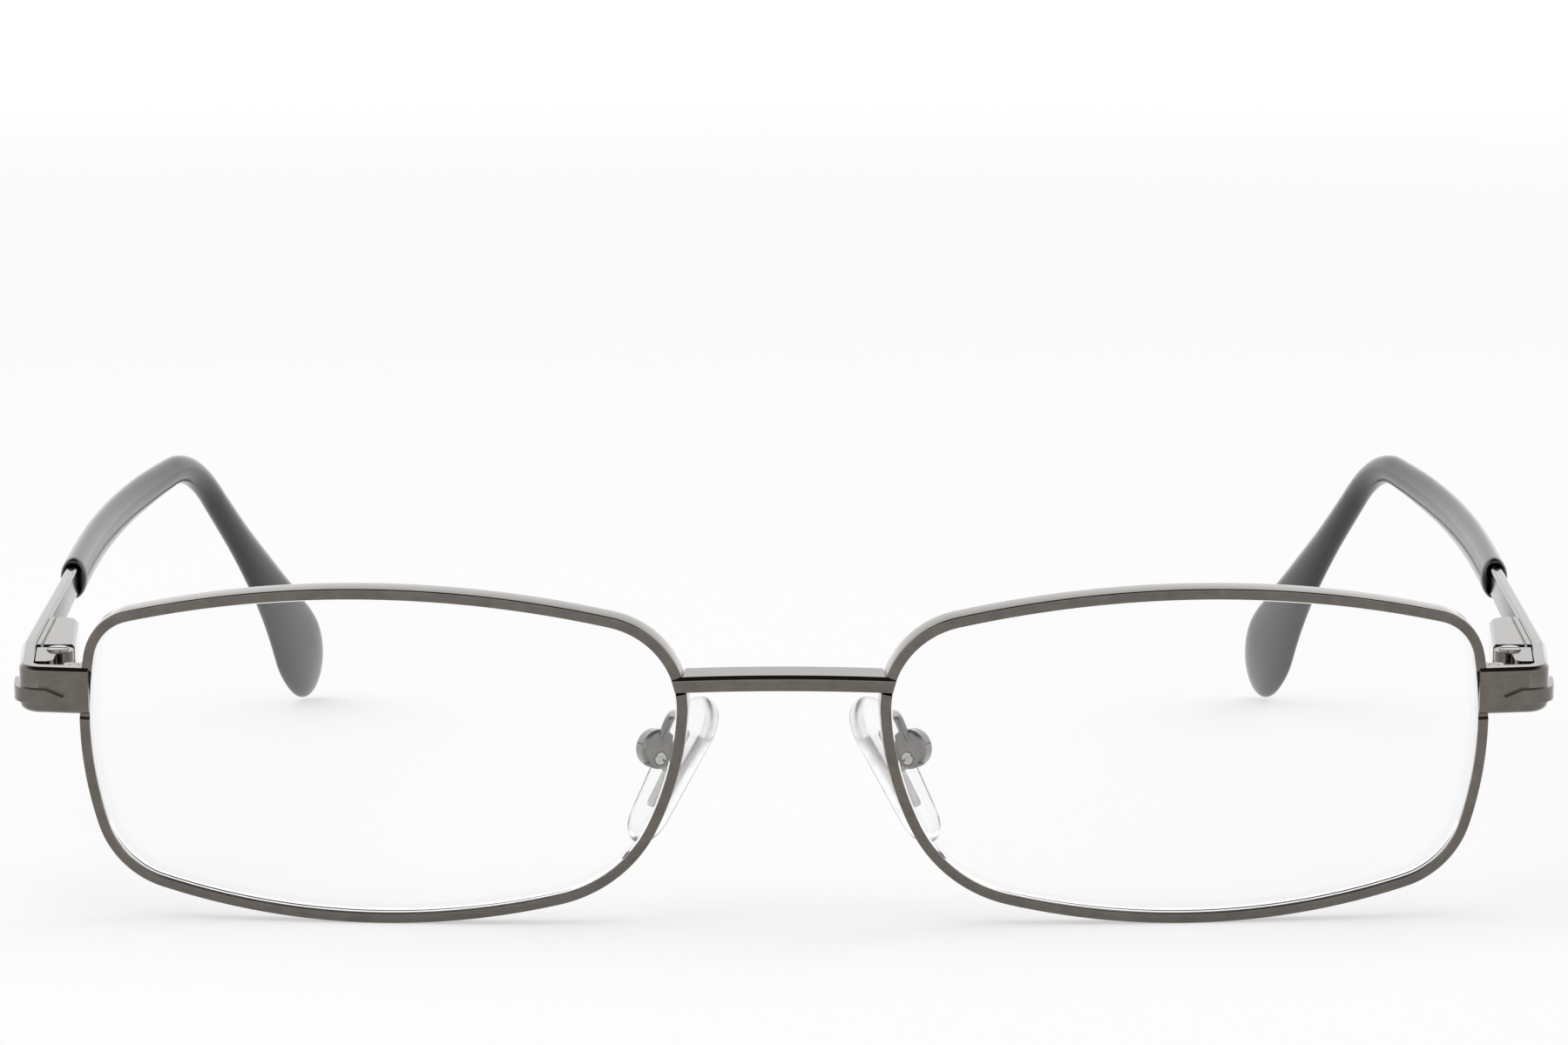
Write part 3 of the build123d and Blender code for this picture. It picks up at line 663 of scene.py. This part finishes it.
def even_loop(points: np.ndarray, outward: np.ndarray, count: int) -> tuple[np.ndarray, np.ndarray]:
    """A closed line set out again in even steps of its length.

    Args:
        points: The line's points, one a row.
        outward: The outward direction at each.
        count: How many points the new line has.

    Returns:
        The new points and their outward directions.
    """
    closed = np.vstack([points, points[:1]])
    turned = np.vstack([outward, outward[:1]])
    run = np.concatenate([[0.0], np.cumsum(np.linalg.norm(np.diff(closed, axis=0), axis=1))])
    place = np.linspace(0, run[-1], count, endpoint=False)
    even = np.stack([np.interp(place, run, closed[:, k]) for k in range(2)], axis=1)
    faced = np.stack([np.interp(place, run, turned[:, k]) for k in range(2)], axis=1)
    return even, unit(faced)


@dataclass
class Assembly:
    """Work that every sub-assembly shares: naming, mirroring and dressing its pieces."""

    layout: Layout
    finishes: Finishes

    def settle(self, piece: bpy.types.Object, finish: str, body: str, *nodes: str) -> None:
        """Dresses a new piece, sets it on its body and hides the CAD nodes that it stands for.

        Args:
            piece: The new piece.
            finish: The finish's name.
            body: The body that it moves with.
            nodes: The CAD nodes that it stands for.
        """
        self.finishes.put_on(piece, finish)
        self.finishes.slot(finish)
        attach(piece, body)
        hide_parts(*nodes)
        log.info("%s: %d faces, on %s", piece.name, len(piece.data.polygons), body)

    def pair(self, name: str, points: np.ndarray, finish: str, rides: Rides,
             ring: bool = False) -> None:
        """Makes a piece from a grid of points on the left, and its mirror image on the right.

        Args:
            name: The node's name without its side.
            points: The left piece's grid, in millimetres.
            finish: The finish's name.
            rides: The body that it moves with.
            ring: Whether the grid closes both ways.
        """
        for side in Side:
            piece = surface(f"{name}_{side.word}_smooth", points * [side.value, 1.0, 1.0], ring)
            self.settle(piece, finish, rides.body(side), f"{name}_{side.word}")

    def polished(self, node: str, finish: str, body: str, edge: float) -> None:
        """Stands a copy of a CAD node with smooth curved faces and softened edges in for it.

        The copy's loose triangles are merged, flat faces joined, and every edge over the crease
        angle gets a narrow rounded bevel.

        Args:
            node: The CAD node.
            finish: The finish's name.
            body: The body that it moves with.
            edge: Width of the softened edges, in millimetres.
        """
        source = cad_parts[node]
        mesh = source.data.copy()
        mesh.transform(source.matrix_world)
        mesh.materials.clear()
        work = bmesh.new()
        work.from_mesh(mesh)
        bmesh.ops.remove_doubles(work, verts=work.verts, dist=MERGE_REACH)
        bmesh.ops.dissolve_limit(work, angle_limit=FLAT_ANGLE, verts=work.verts, edges=work.edges)
        work.to_mesh(mesh)
        work.free()
        mesh.polygons.foreach_set("use_smooth", np.ones(len(mesh.polygons), dtype=bool))
        mesh.set_sharp_from_angle(angle=CREASE_ANGLE)
        piece = bpy.data.objects.new(f"{node}_polished", mesh)
        bpy.context.scene.collection.objects.link(piece)
        if edge:
            bevel = piece.modifiers.new("softened edges", "BEVEL")
            bevel.width = edge * MM
            bevel.segments = 2
            bevel.limit_method = "ANGLE"
            bevel.angle_limit = CREASE_ANGLE
        piece.modifiers.new("even shading", "WEIGHTED_NORMAL").keep_sharp = True
        self.settle(piece, finish, body, node)

    def polished_pair(self, name: str, finish: str, rides: Rides, edge: float) -> None:
        """Polished copies of a paired node, named without its side, on both sides."""
        for side in Side:
            self.polished(f"{name}_{side.word}", finish, rides.body(side), edge)

    def kept_pair(self, name: str, finish: str) -> None:
        """Gives both CAD nodes of a pair their finish and leaves their shape."""
        for side in Side:
            self.finishes.put_on(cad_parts[f"{name}_{side.word}"], finish)


@dataclass
class Front:
    """Eyewires, lenses, bridge, end pieces and rim locks."""

    assembly: Assembly
    outline: EyeOutline = EyeOutline()
    rim_face: float = 0.93
    rim_depth: float = 2.3
    rim_edge: float = 0.16
    lens_front: float = 0.4
    lens_thickness: float = 1.5
    lens_seat: float = -0.045
    lens_bevel: float = 0.55
    groove_play: float = 0.06
    let_in: float = 0.28
    bridge_up: float = 6.3
    bridge_room: float = 0.7
    end_room: float = 2.12
    groove_edge: float = 0.03
    groove_steps: int = 5
    rim_steps: int = 720
    pole_share: float = 0.02
    lens_rings: int = 26

    def build(self) -> None:
        """Makes and dresses every piece of the front."""
        self.eyewires()
        self.lenses()
        self.assembly.polished("bridge", "gunmetal", "front", edge=0.09)
        self.assembly.polished_pair("end_piece", "gunmetal", Rides.FRONT, edge=0.09)
        for name in ("rim_lock_upper", "rim_lock_lower"):
            self.assembly.polished_pair(name, "gunmetal", Rides.FRONT, edge=0.07)
        self.assembly.polished_pair("rim_lock_screw", "steel", Rides.FRONT, edge=0.04)

    def eyewires(self) -> None:
        """Sweeps the eyewire's section round the outline.

        A point is the outline's point plus its outward direction times the section's offset, at
        the section's depth behind the front's sphere. The section is a rounded rectangle with a V
        groove for the lens. Under the bridge and the end piece no point lies nearer the front than
        the let-in depth.
        """
        half, depth, edge = self.rim_face / 2, self.rim_depth, self.rim_edge
        mouth = self.lens_front + self.lens_bevel - self.lens_seat - half - self.groove_play
        floor = self.lens_seat + self.groove_play
        corners = np.array([
            [half, 0.0], [half, depth], [-half, depth],
            [-half, depth - mouth], [floor, depth - mouth - half - floor],
            [floor, mouth + half + floor], [-half, mouth], [-half, 0.0],
        ])
        radii = np.array([edge] * 3 + [self.groove_edge] * 4 + [edge])
        section = rounded(corners, radii, self.groove_steps)
        line, outward = self.outline.loop(0.0, self.rim_steps)
        flat = line[None] + outward[None] * section[:, None, :1]
        deep = np.repeat(section[:, 1:], len(line), axis=1)
        across, up = line.T
        layout = self.assembly.layout
        under_bridge = (across < 0) & (abs(up - self.bridge_up) < self.bridge_room)
        under_end = (across > 0) & (abs(up - layout.hinge_up) < self.end_room)
        deep = np.where(under_bridge | under_end, np.maximum(deep, self.let_in), deep)
        points = layout.eye_points(flat, deep)
        self.assembly.pair("rim", points.transpose(1, 0, 2), "gunmetal", Rides.FRONT, ring=True)

    def lenses(self) -> None:
        """Makes each lens as rings about its pole, from the front's middle to the back's.

        The front and back rings are the outline inside the bevel times a share from near nought to
        one, each on its own sphere. The bevel's two rings lie between them.
        """
        foot, _ = self.outline.loop(self.lens_seat - self.lens_bevel)
        brim, _ = self.outline.loop(self.lens_seat)
        back = self.lens_front + self.lens_thickness
        shares = np.linspace(self.pole_share, 1.0, self.lens_rings)
        faces = foot * shares[:, None, None]
        flats = np.concatenate([faces, [brim, brim], faces[::-1]])
        depths = [self.lens_front] * self.lens_rings
        depths += [self.lens_front + self.lens_bevel, back - self.lens_bevel]
        depths += [back] * self.lens_rings
        points = self.assembly.layout.eye_points(flats, np.array(depths)[:, None])
        self.assembly.pair("lens", points, "lens", Rides.FRONT)


@dataclass
class Temples:
    """Temple bars, covered tips and spring hinges."""

    assembly: Assembly
    line_out: float = 2.75
    bend_distance: float = 87.9
    bend_radius: float = 14.0
    tip_distance: float = 116.0
    tip_drop: float = 32.1
    toe_in: float = 15.4
    toe_in_share: float = 0.262
    toe_in_power: float = 1.5
    sleeve_start: float = 34.0
    sleeve_thickness: float = 2.5
    paddle_height: float = 7.5
    paddle_twist: float = radians(-30.0)
    mouth_bore: tuple[float, float] = (1.2, 2.8)
    mouth_depth: float = 3.0
    lip: float = 0.25
    round_share: float = 0.9
    shares: tuple[tuple[float, ...], ...] = (
        (0.00, 1.00, 0.530, 0.0),
        (0.20, 1.00, 0.520, 0.0),
        (0.40, 0.98, 0.470, 0.0),
        (0.53, 0.98, 0.385, 0.0),
        (0.61, 0.98, 0.390, 0.1),
        (0.70, 0.97, 0.460, 0.4),
        (0.80, 0.96, 0.670, 0.8),
        (0.90, 0.92, 1.000, 1.0),
        (1.00, 0.90, 1.010, 1.0),
    )
    share_steps: int = 401
    smoothing: int = 33
    body_steps: int = 150
    end_steps: int = 40
    around: int = 56
    end_power: float = 0.8
    bore_power: float = 0.35
    lip_inset: tuple[float, float] = (0.4, 0.3)
    lip_steps: tuple[float, ...] = (0.5, -0.3, -0.2, 0.2)
    near: float = 0.4

    @property
    def fall(self) -> float:
        """The angle that the temple bends down by."""
        return atan2(self.tip_drop, self.tip_distance - self.bend_distance)

    @property
    def straight(self) -> float:
        """Length of the straight run from the hinge to the bend."""
        return self.bend_distance - self.bend_radius * tan(self.fall / 2)

    @property
    def length(self) -> float:
        """Length of the whole middle line."""
        slope = hypot(self.tip_distance - self.bend_distance, self.tip_drop)
        return 2 * self.straight - self.bend_distance + self.bend_radius * self.fall + slope

    def build(self) -> None:
        """Makes and dresses every piece of the temples and their hinges."""
        self.tips()
        self.assembly.polished_pair("temple", "gunmetal", Rides.ARM, edge=0.0)
        self.assembly.polished_pair("hinge_housing", "gunmetal", Rides.ARM, edge=0.06)
        self.assembly.polished_pair("hinge_front", "gunmetal", Rides.FRONT, edge=0.06)
        self.assembly.polished_pair("hinge_screw", "steel", Rides.PIN, edge=0.03)
        self.assembly.polished_pair("hinge_slider", "steel", Rides.SLIDER, edge=0.04)
        self.assembly.kept_pair("hinge_spring", "steel")

    def middle_line(self, along: np.ndarray) -> np.ndarray:
        """Points of the left temple's middle line.

        It runs straight back, round the bend's arc and straight to the tip, and moves inwards by
        the toe-in times turn squared times (3 - 2 turn), where turn is the share of the length
        past the start of the toe-in, raised to its power.

        Args:
            along: Distances along the line from the hinge.

        Returns:
            The points, one a row.
        """
        angle = np.clip((along - self.straight) / self.bend_radius, 0.0, self.fall)
        rest = np.maximum(along - self.straight - self.bend_radius * self.fall, 0.0)
        back = np.minimum(along, self.straight) + self.bend_radius * np.sin(angle)
        back = back + rest * cos(self.fall)
        up = -self.bend_radius * (1 - np.cos(angle)) - rest * sin(self.fall)
        past = np.maximum(along / self.length - self.toe_in_share, 0.0) / (1 - self.toe_in_share)
        turn = past**self.toe_in_power
        out = self.line_out - self.toe_in * turn**2 * (3 - 2 * turn)
        layout = self.assembly.layout
        local = np.stack([out, back, up], axis=-1)
        return placed(layout.hinge, (ACROSS, layout.temple_back, layout.temple_up), local)

    def ovals(self) -> tuple[np.ndarray, ...]:
        """Sizes of the tip's ellipses along the sleeve.

        Thickness, height and twist come from the table of shares, smoothed along the length. Past
        the round share both sizes shrink by the square root of one less the square of the share
        that is left, which closes the paddle in an ellipse.

        Returns:
            Shares of the length, half the thickness and half the height there, and the twist.
        """
        table = np.array(self.shares)
        even = np.linspace(0, 1, self.share_steps)
        window = np.hanning(self.smoothing)
        window /= window.sum()
        smooth = []
        for column in table.T[1:]:
            wide = np.pad(np.interp(even, table[:, 0], column), self.smoothing // 2, mode="edge")
            smooth.append(np.convolve(wide, window, "valid"))
        body = np.linspace(0, self.round_share, self.body_steps)
        turn = np.linspace(0, pi / 2, self.end_steps)[1:-1]
        share = np.concatenate([body, self.round_share + (1 - self.round_share) * np.sin(turn)])
        thick, high, twist = (np.interp(share, even, row) for row in smooth)
        left = np.maximum(share - self.round_share, 0.0) / (1 - self.round_share)
        closing = np.sqrt(1 - left**2)
        half_thick = self.sleeve_thickness / 2 * thick * closing**self.end_power
        half_high = self.paddle_height / 2 * high * closing
        return share, half_thick, half_high, twist

    def tips(self) -> None:
        """Makes each covered tip as ellipses square to the middle line.

        The mouth turns in over a rounded lip to the bore round the bar. Each ellipse is turned by
        the twist about the line's direction, which is taken from two points near it.
        """
        share, half_thick, half_high, twist = self.ovals()
        turn = np.linspace(0, 2 * pi, self.around, endpoint=False)
        oval = np.stack([np.cos(turn), np.sin(turn)], axis=-1)
        sections = oval * np.stack([half_thick, half_high], axis=-1)[:, None]
        inset, rounding = self.lip_inset
        sections[0] -= oval * self.lip * inset
        mouth = sections[0]
        bore = np.sign(oval) * np.abs(oval) ** self.bore_power * np.array(self.mouth_bore) / 2
        lips = np.stack([bore, bore, (mouth + bore) / 2, mouth - oval * self.lip * rounding])
        sections = np.concatenate([lips, sections])
        first = self.sleeve_start
        steps = first + self.lip * np.array(self.lip_steps)
        sleeve = first + (self.length - first) * share
        along = np.concatenate([[first + self.mouth_depth], steps, sleeve[1:]])
        spin = self.paddle_twist * np.concatenate([np.zeros(len(lips)), twist])
        sleeved = np.maximum(along, first)
        before, after = (self.middle_line(sleeved + step) for step in (-self.near, self.near))
        tangent = unit(after - before)
        sideways = unit(ACROSS - tangent * tangent[:, :1])
        upright = np.cross(tangent, sideways)
        x = sections[..., 0] * np.cos(spin)[:, None] - sections[..., 1] * np.sin(spin)[:, None]
        y = sections[..., 0] * np.sin(spin)[:, None] + sections[..., 1] * np.cos(spin)[:, None]
        points = self.middle_line(along)[:, None]
        points = points + x[..., None] * sideways[:, None] + y[..., None] * upright[:, None]
        self.assembly.pair("temple_tip", points, "tip_plastic", Rides.ARM)


@dataclass
class NosePads:
    """Nose pads with their cores, boxes, screws and arms."""

    assembly: Assembly
    outline: EyeOutline = EyeOutline()
    screw: tuple[float, float, float] = (11.26, 7.9, -1.0)
    splay: float = radians(28.0)
    frontal: float = radians(30.0)
    standoff: float = 2.45
    set_back: float = 0.9
    set_down: float = 0.3
    length: float = 14.2
    upper_radius: float = 3.5
    lower_radius: float = 2.8
    thickness: float = 1.5
    edge: float = 0.65
    crown: float = 0.12
    box_centre: tuple[float, float] = (0.38, 0.7)
    wire_radius: float = 0.42
    foot: tuple[float, float] = (-0.7, 2.64)
    knee: tuple[float, float] = (3.2, 2.64)
    foot_out: float = 0.065
    crown_point: tuple[float, float, float] = (-1.3, -1.0, 3.3)
    bend: float = 1.1
    bend_steps: int = 9
    arc_steps: int = 60
    around: int = 144
    pole_share: float = 0.03
    rings: int = 12
    edge_steps: int = 15

    def axes(self) -> tuple[np.ndarray, np.ndarray, np.ndarray]:
        """Directions across the pad, up it and out of its front."""
        over = np.array([sin(self.splay), cos(self.splay), 0.0])
        level = np.array([cos(self.splay), -sin(self.splay), 0.0])
        out = level * cos(self.frontal) + UP * sin(self.frontal)
        return over, np.cross(out, over), out

    def build(self) -> None:
        """Makes and dresses every piece of the nose pads."""
        self.pads()
        self.arms()
        self.assembly.polished_pair("pad_box", "nickel", Rides.FRONT, edge=0.05)
        self.assembly.polished_pair("pad_screw", "steel", Rides.FRONT, edge=0.02)
        self.assembly.polished_pair("pad_core", "steel", Rides.PAD, edge=0.03)

    def pads(self) -> None:
        """Makes each pad as rings about its middle.

        The outline is the hull of two circles. Its rings shrink to the middle by a share on each
        face, and between the faces they swell round the edge by the edge radius times a cosine,
        while their level turns by a sine. The face on the nose stands proud by the crown times one
        less the share squared.
        """
        upper, lower = self.length / 2 - self.upper_radius, self.lower_radius - self.length / 2
        lean = np.arcsin((self.upper_radius - self.lower_radius) / (upper - lower))
        top = np.linspace(-lean, pi + lean, self.arc_steps)
        base = np.linspace(pi + lean, 2 * pi - lean, self.arc_steps)
        high = np.stack([np.cos(top), np.sin(top)], axis=1)
        low = np.stack([np.cos(base), np.sin(base)], axis=1)
        hull = [high * self.upper_radius + [0.0, upper], low * self.lower_radius + [0.0, lower]]
        line, outward = even_loop(np.vstack(hull), np.vstack([high, low]), self.around)
        inner = line - outward * self.edge
        level, edge = self.thickness / 2, self.edge
        face = [(share, -level - self.crown * (1 - share**2))
                for share in np.linspace(self.pole_share, 1.0, self.rings)]
        rings = [lifted(inner * share, deep) for share, deep in face]
        for turn in np.linspace(-pi / 2, pi / 2, self.edge_steps)[1:-1]:
            deep = (level - edge) * np.sign(turn) + edge * sin(turn)
            rings.append(lifted(inner + outward * edge * cos(turn), deep))
        rings += [lifted(inner * share, level) for share, _ in face[::-1]]
        local = np.stack(rings) + [self.set_back, -self.set_down, 0.0]
        axes = self.axes()
        origin = np.array(self.assembly.layout.stand) + self.screw - axes[2] * self.standoff
        self.assembly.pair("nose_pad", placed(origin, axes, local), "pad_plastic", Rides.PAD)

    def arms(self) -> None:
        """Makes each pad arm as a round wire bent from the eyewire's back over to the box."""
        centre, radius = (values[self.outline.nose_side] for values in self.outline.sides())
        layout = self.assembly.layout
        ends = []
        for up, deep in (self.foot, self.knee):
            edge = sqrt(radius**2 - (up - centre[1]) ** 2) - centre[0]
            pole_level = layout.eye_points(np.array([-edge - self.foot_out, up]), 0.0)
            ends.append(pole_level - layout.eye_ahead * deep)
        over, up_pad, out = self.axes()
        screw = np.array(layout.stand) + self.screw
        box = screw + out * self.box_centre[0] + up_pad * self.box_centre[1]
        corners = np.array([ends[0], ends[1], box + self.crown_point, box])
        path = rounded(corners, self.bend, self.bend_steps, closed=False)
        points = tube(path, self.wire_radius)
        self.assembly.pair("pad_arm", points, "nickel", Rides.FRONT)


@dataclass(frozen=True)
class Lamp:
    """A soft square lamp: its name, place and side in metres, and power in watts."""

    name: str
    place: tuple[float, float, float]
    size: float
    power: float

    def hang(self) -> None:
        """Hangs the lamp, turned to the glasses."""
        data = bpy.data.lights.new(self.name, "AREA")
        data.size = self.size
        data.energy = self.power
        lamp = bpy.data.objects.new(self.name, data)
        lamp.location = self.place
        x, y, z = self.place
        lamp.rotation_euler = (atan2(hypot(x, y), z), 0.0, atan2(x, -y))
        lamp.visible_glossy = False
        bpy.context.scene.collection.objects.link(lamp)


@dataclass
class Studio:
    """Floor, world, lamps and the photograph's camera."""

    floor_size: float = 12.0
    floor_white: float = 1.02
    matt: tuple[float, float, float, float] = (0.4, 1.6, 0.5, 0.0)
    camera_place: tuple[float, float, float] = (0.0, -0.5650953, 0.0988)
    camera_pitch: float = radians(7.169)
    camera_lens: float = 133.53
    camera_sensor: float = 36.0
    camera_clip: tuple[float, float] = (0.01, 60.0)
    sky: float = 0.62
    card: tuple[float, float, float, float] = (0.5, 0.85, 1.18, 0.05)
    lamps: tuple[Lamp, ...] = (
        Lamp("key lamp", (-0.5, -0.25, 1.25), 1.3, 6.0),
        Lamp("fill lamp", (0.7, 0.5, 1.0), 1.0, 2.0),
    )

    def build(self) -> None:
        """Sets up everything that isn't part of the glasses."""
        scene = bpy.context.scene
        scene.view_settings.view_transform = "Standard"
        self.camera(scene)
        self.floor(scene)
        self.world(scene)
        for lamp in self.lamps:
            lamp.hang()

    def camera(self, scene: bpy.types.Scene) -> None:
        """Places the camera as the photograph was taken, level and looking back and down."""
        data = bpy.data.cameras.new("camera")
        data.lens = self.camera_lens
        data.sensor_width = self.camera_sensor
        data.clip_start, data.clip_end = self.camera_clip
        camera = bpy.data.objects.new("camera", data)
        camera.location = self.camera_place
        camera.rotation_euler = (pi / 2 - self.camera_pitch, 0.0, 0.0)
        scene.collection.objects.link(camera)
        scene.camera = camera

    def floor(self, scene: bpy.types.Scene) -> None:
        """A plain pale floor that keeps a faint shadow.

        It is half matt near the glasses and gives its own white further out.
        """
        half = self.floor_size / 2
        corners = [(-half, -half, 0), (half, -half, 0), (half, half, 0), (-half, half, 0)]
        mesh = bpy.data.meshes.new("floor")
        mesh.from_pydata(corners, [], [(0, 1, 2, 3)])
        floor = bpy.data.objects.new("floor", mesh)
        scene.collection.objects.link(floor)
        material = bpy.data.materials.new("pale_floor")
        material.use_nodes = True
        wiring = Wiring(material.node_tree)
        reach = wiring.add("VectorMath")
        reach.operation = "LENGTH"
        wiring.join(wiring.add("TexCoord").outputs["Object"], reach.inputs[0])
        matt = wiring.mapped(reach.outputs["Value"], self.matt, smooth=True)
        own = wiring.math("SUBTRACT", self.floor_white, matt)
        wiring.fill(wiring.tree.nodes["Principled BSDF"], {
            "Base Color": matt,
            "Roughness": 1.0,
            "Specular IOR Level": 0.0,
            "Emission Color": WHITE,
            "Emission Strength": wiring.math("MULTIPLY", wiring.seen(), own),
        })
        mesh.materials.append(material)

    def world(self, scene: bpy.types.Scene) -> None:
        """A pale sky, white to what sees it, with a dark card overhead in reflections."""
        world = bpy.data.worlds.new("studio")
        world.use_nodes = True
        wiring = Wiring(world.node_tree)
        level = wiring.mapped(wiring.seen(), (0.0, 1.0, self.sky, 1.0))
        direction = wiring.add("SeparateXYZ", Vector=wiring.add("TexCoord").outputs["Generated"])
        card = wiring.mapped(direction.outputs["Z"], self.card, smooth=True)
        glossy = wiring.add("LightPath").outputs["Is Glossy Ray"]
        shade = wiring.mapped(glossy, (0.0, 1.0, 1.0, card))
        strength = wiring.math("MULTIPLY", level, shade)
        wiring.fill(wiring.tree.nodes["Background"], {"Color": WHITE, "Strength": strength})
        scene.world = world


def main() -> None:
    """Builds the studio and the glasses in order."""
    logging.basicConfig(level=logging.INFO, format="%(name)s: %(message)s")
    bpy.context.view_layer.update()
    Studio().build()
    assembly = Assembly(Layout(), Finishes())
    for part in (Front(assembly), Temples(assembly), NosePads(assembly)):
        part.build()
    bpy.context.view_layer.update()


if __name__ == "__main__":
    main()
